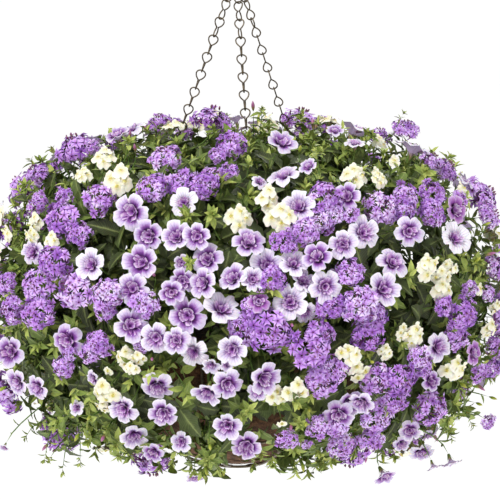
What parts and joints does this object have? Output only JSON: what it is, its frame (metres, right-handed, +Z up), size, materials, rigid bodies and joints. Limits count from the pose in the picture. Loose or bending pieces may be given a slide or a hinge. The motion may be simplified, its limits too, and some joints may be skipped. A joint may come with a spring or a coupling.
{
  "type": "mixed flower hanging basket",
  "caption": "Round wire hanging basket with a fibre liner on chains, overflowing with purple and white trumpet flowers, lilac flower heads and cream blooms.",
  "frame": {"origin": "point where the hanger's hook bears on the bracket it hangs from", "axes": "+Z up, -Y towards the viewer of the picture"},
  "size_m": [0.595, 0.5947, 0.6015],
  "materials": {
    "dark_bronze_wire": "satin dark bronze coating",
    "coconut_fibre": "rough pressed coconut fibre",
    "potting_mix": "crumbly dark peat",
    "calibrachoa_spray": "soft petals, violet with pale edges, on green stems",
    "verbena_spray": "matt lilac florets over toothed green leaves",
    "cream_spray": "soft cream petals with yellow throats on green stems"
  },
  "bodies": {
    "root": {"basket_frame": "dark_bronze_wire", "calibrachoa_spray_01": "calibrachoa_spray", "calibrachoa_spray_02": "calibrachoa_spray", "calibrachoa_spray_03": "calibrachoa_spray", "calibrachoa_spray_04": "calibrachoa_spray", "calibrachoa_spray_05": "calibrachoa_spray", "calibrachoa_spray_06": "calibrachoa_spray", "calibrachoa_spray_07": "calibrachoa_spray", "calibrachoa_spray_08": "calibrachoa_spray", "calibrachoa_spray_09": "calibrachoa_spray", "calibrachoa_spray_10": "calibrachoa_spray", "calibrachoa_spray_11": "calibrachoa_spray", "calibrachoa_spray_12": "calibrachoa_spray", "calibrachoa_spray_13": "calibrachoa_spray", "calibrachoa_spray_14": "calibrachoa_spray", "calibrachoa_spray_15": "calibrachoa_spray", "calibrachoa_spray_16": "calibrachoa_spray", "calibrachoa_spray_17": "calibrachoa_spray", "chain_front": "dark_bronze_wire", "chain_left": "dark_bronze_wire", "chain_right": "dark_bronze_wire", "coco_liner": "coconut_fibre", "cream_spray_01": "cream_spray", "cream_spray_02": "cream_spray", "cream_spray_03": "cream_spray", "cream_spray_04": "cream_spray", "cream_spray_05": "cream_spray", "hanger_hook": "dark_bronze_wire", "soil": "potting_mix", "verbena_spray_01": "verbena_spray", "verbena_spray_02": "verbena_spray", "verbena_spray_03": "verbena_spray", "verbena_spray_04": "verbena_spray", "verbena_spray_05": "verbena_spray", "verbena_spray_06": "verbena_spray", "verbena_spray_07": "verbena_spray", "verbena_spray_08": "verbena_spray", "verbena_spray_09": "verbena_spray", "verbena_spray_10": "verbena_spray", "verbena_spray_11": "verbena_spray", "verbena_spray_12": "verbena_spray", "verbena_spray_13": "verbena_spray", "verbena_spray_14": "verbena_spray", "verbena_spray_15": "verbena_spray", "verbena_spray_16": "verbena_spray"}
  },
  "joints": []
}
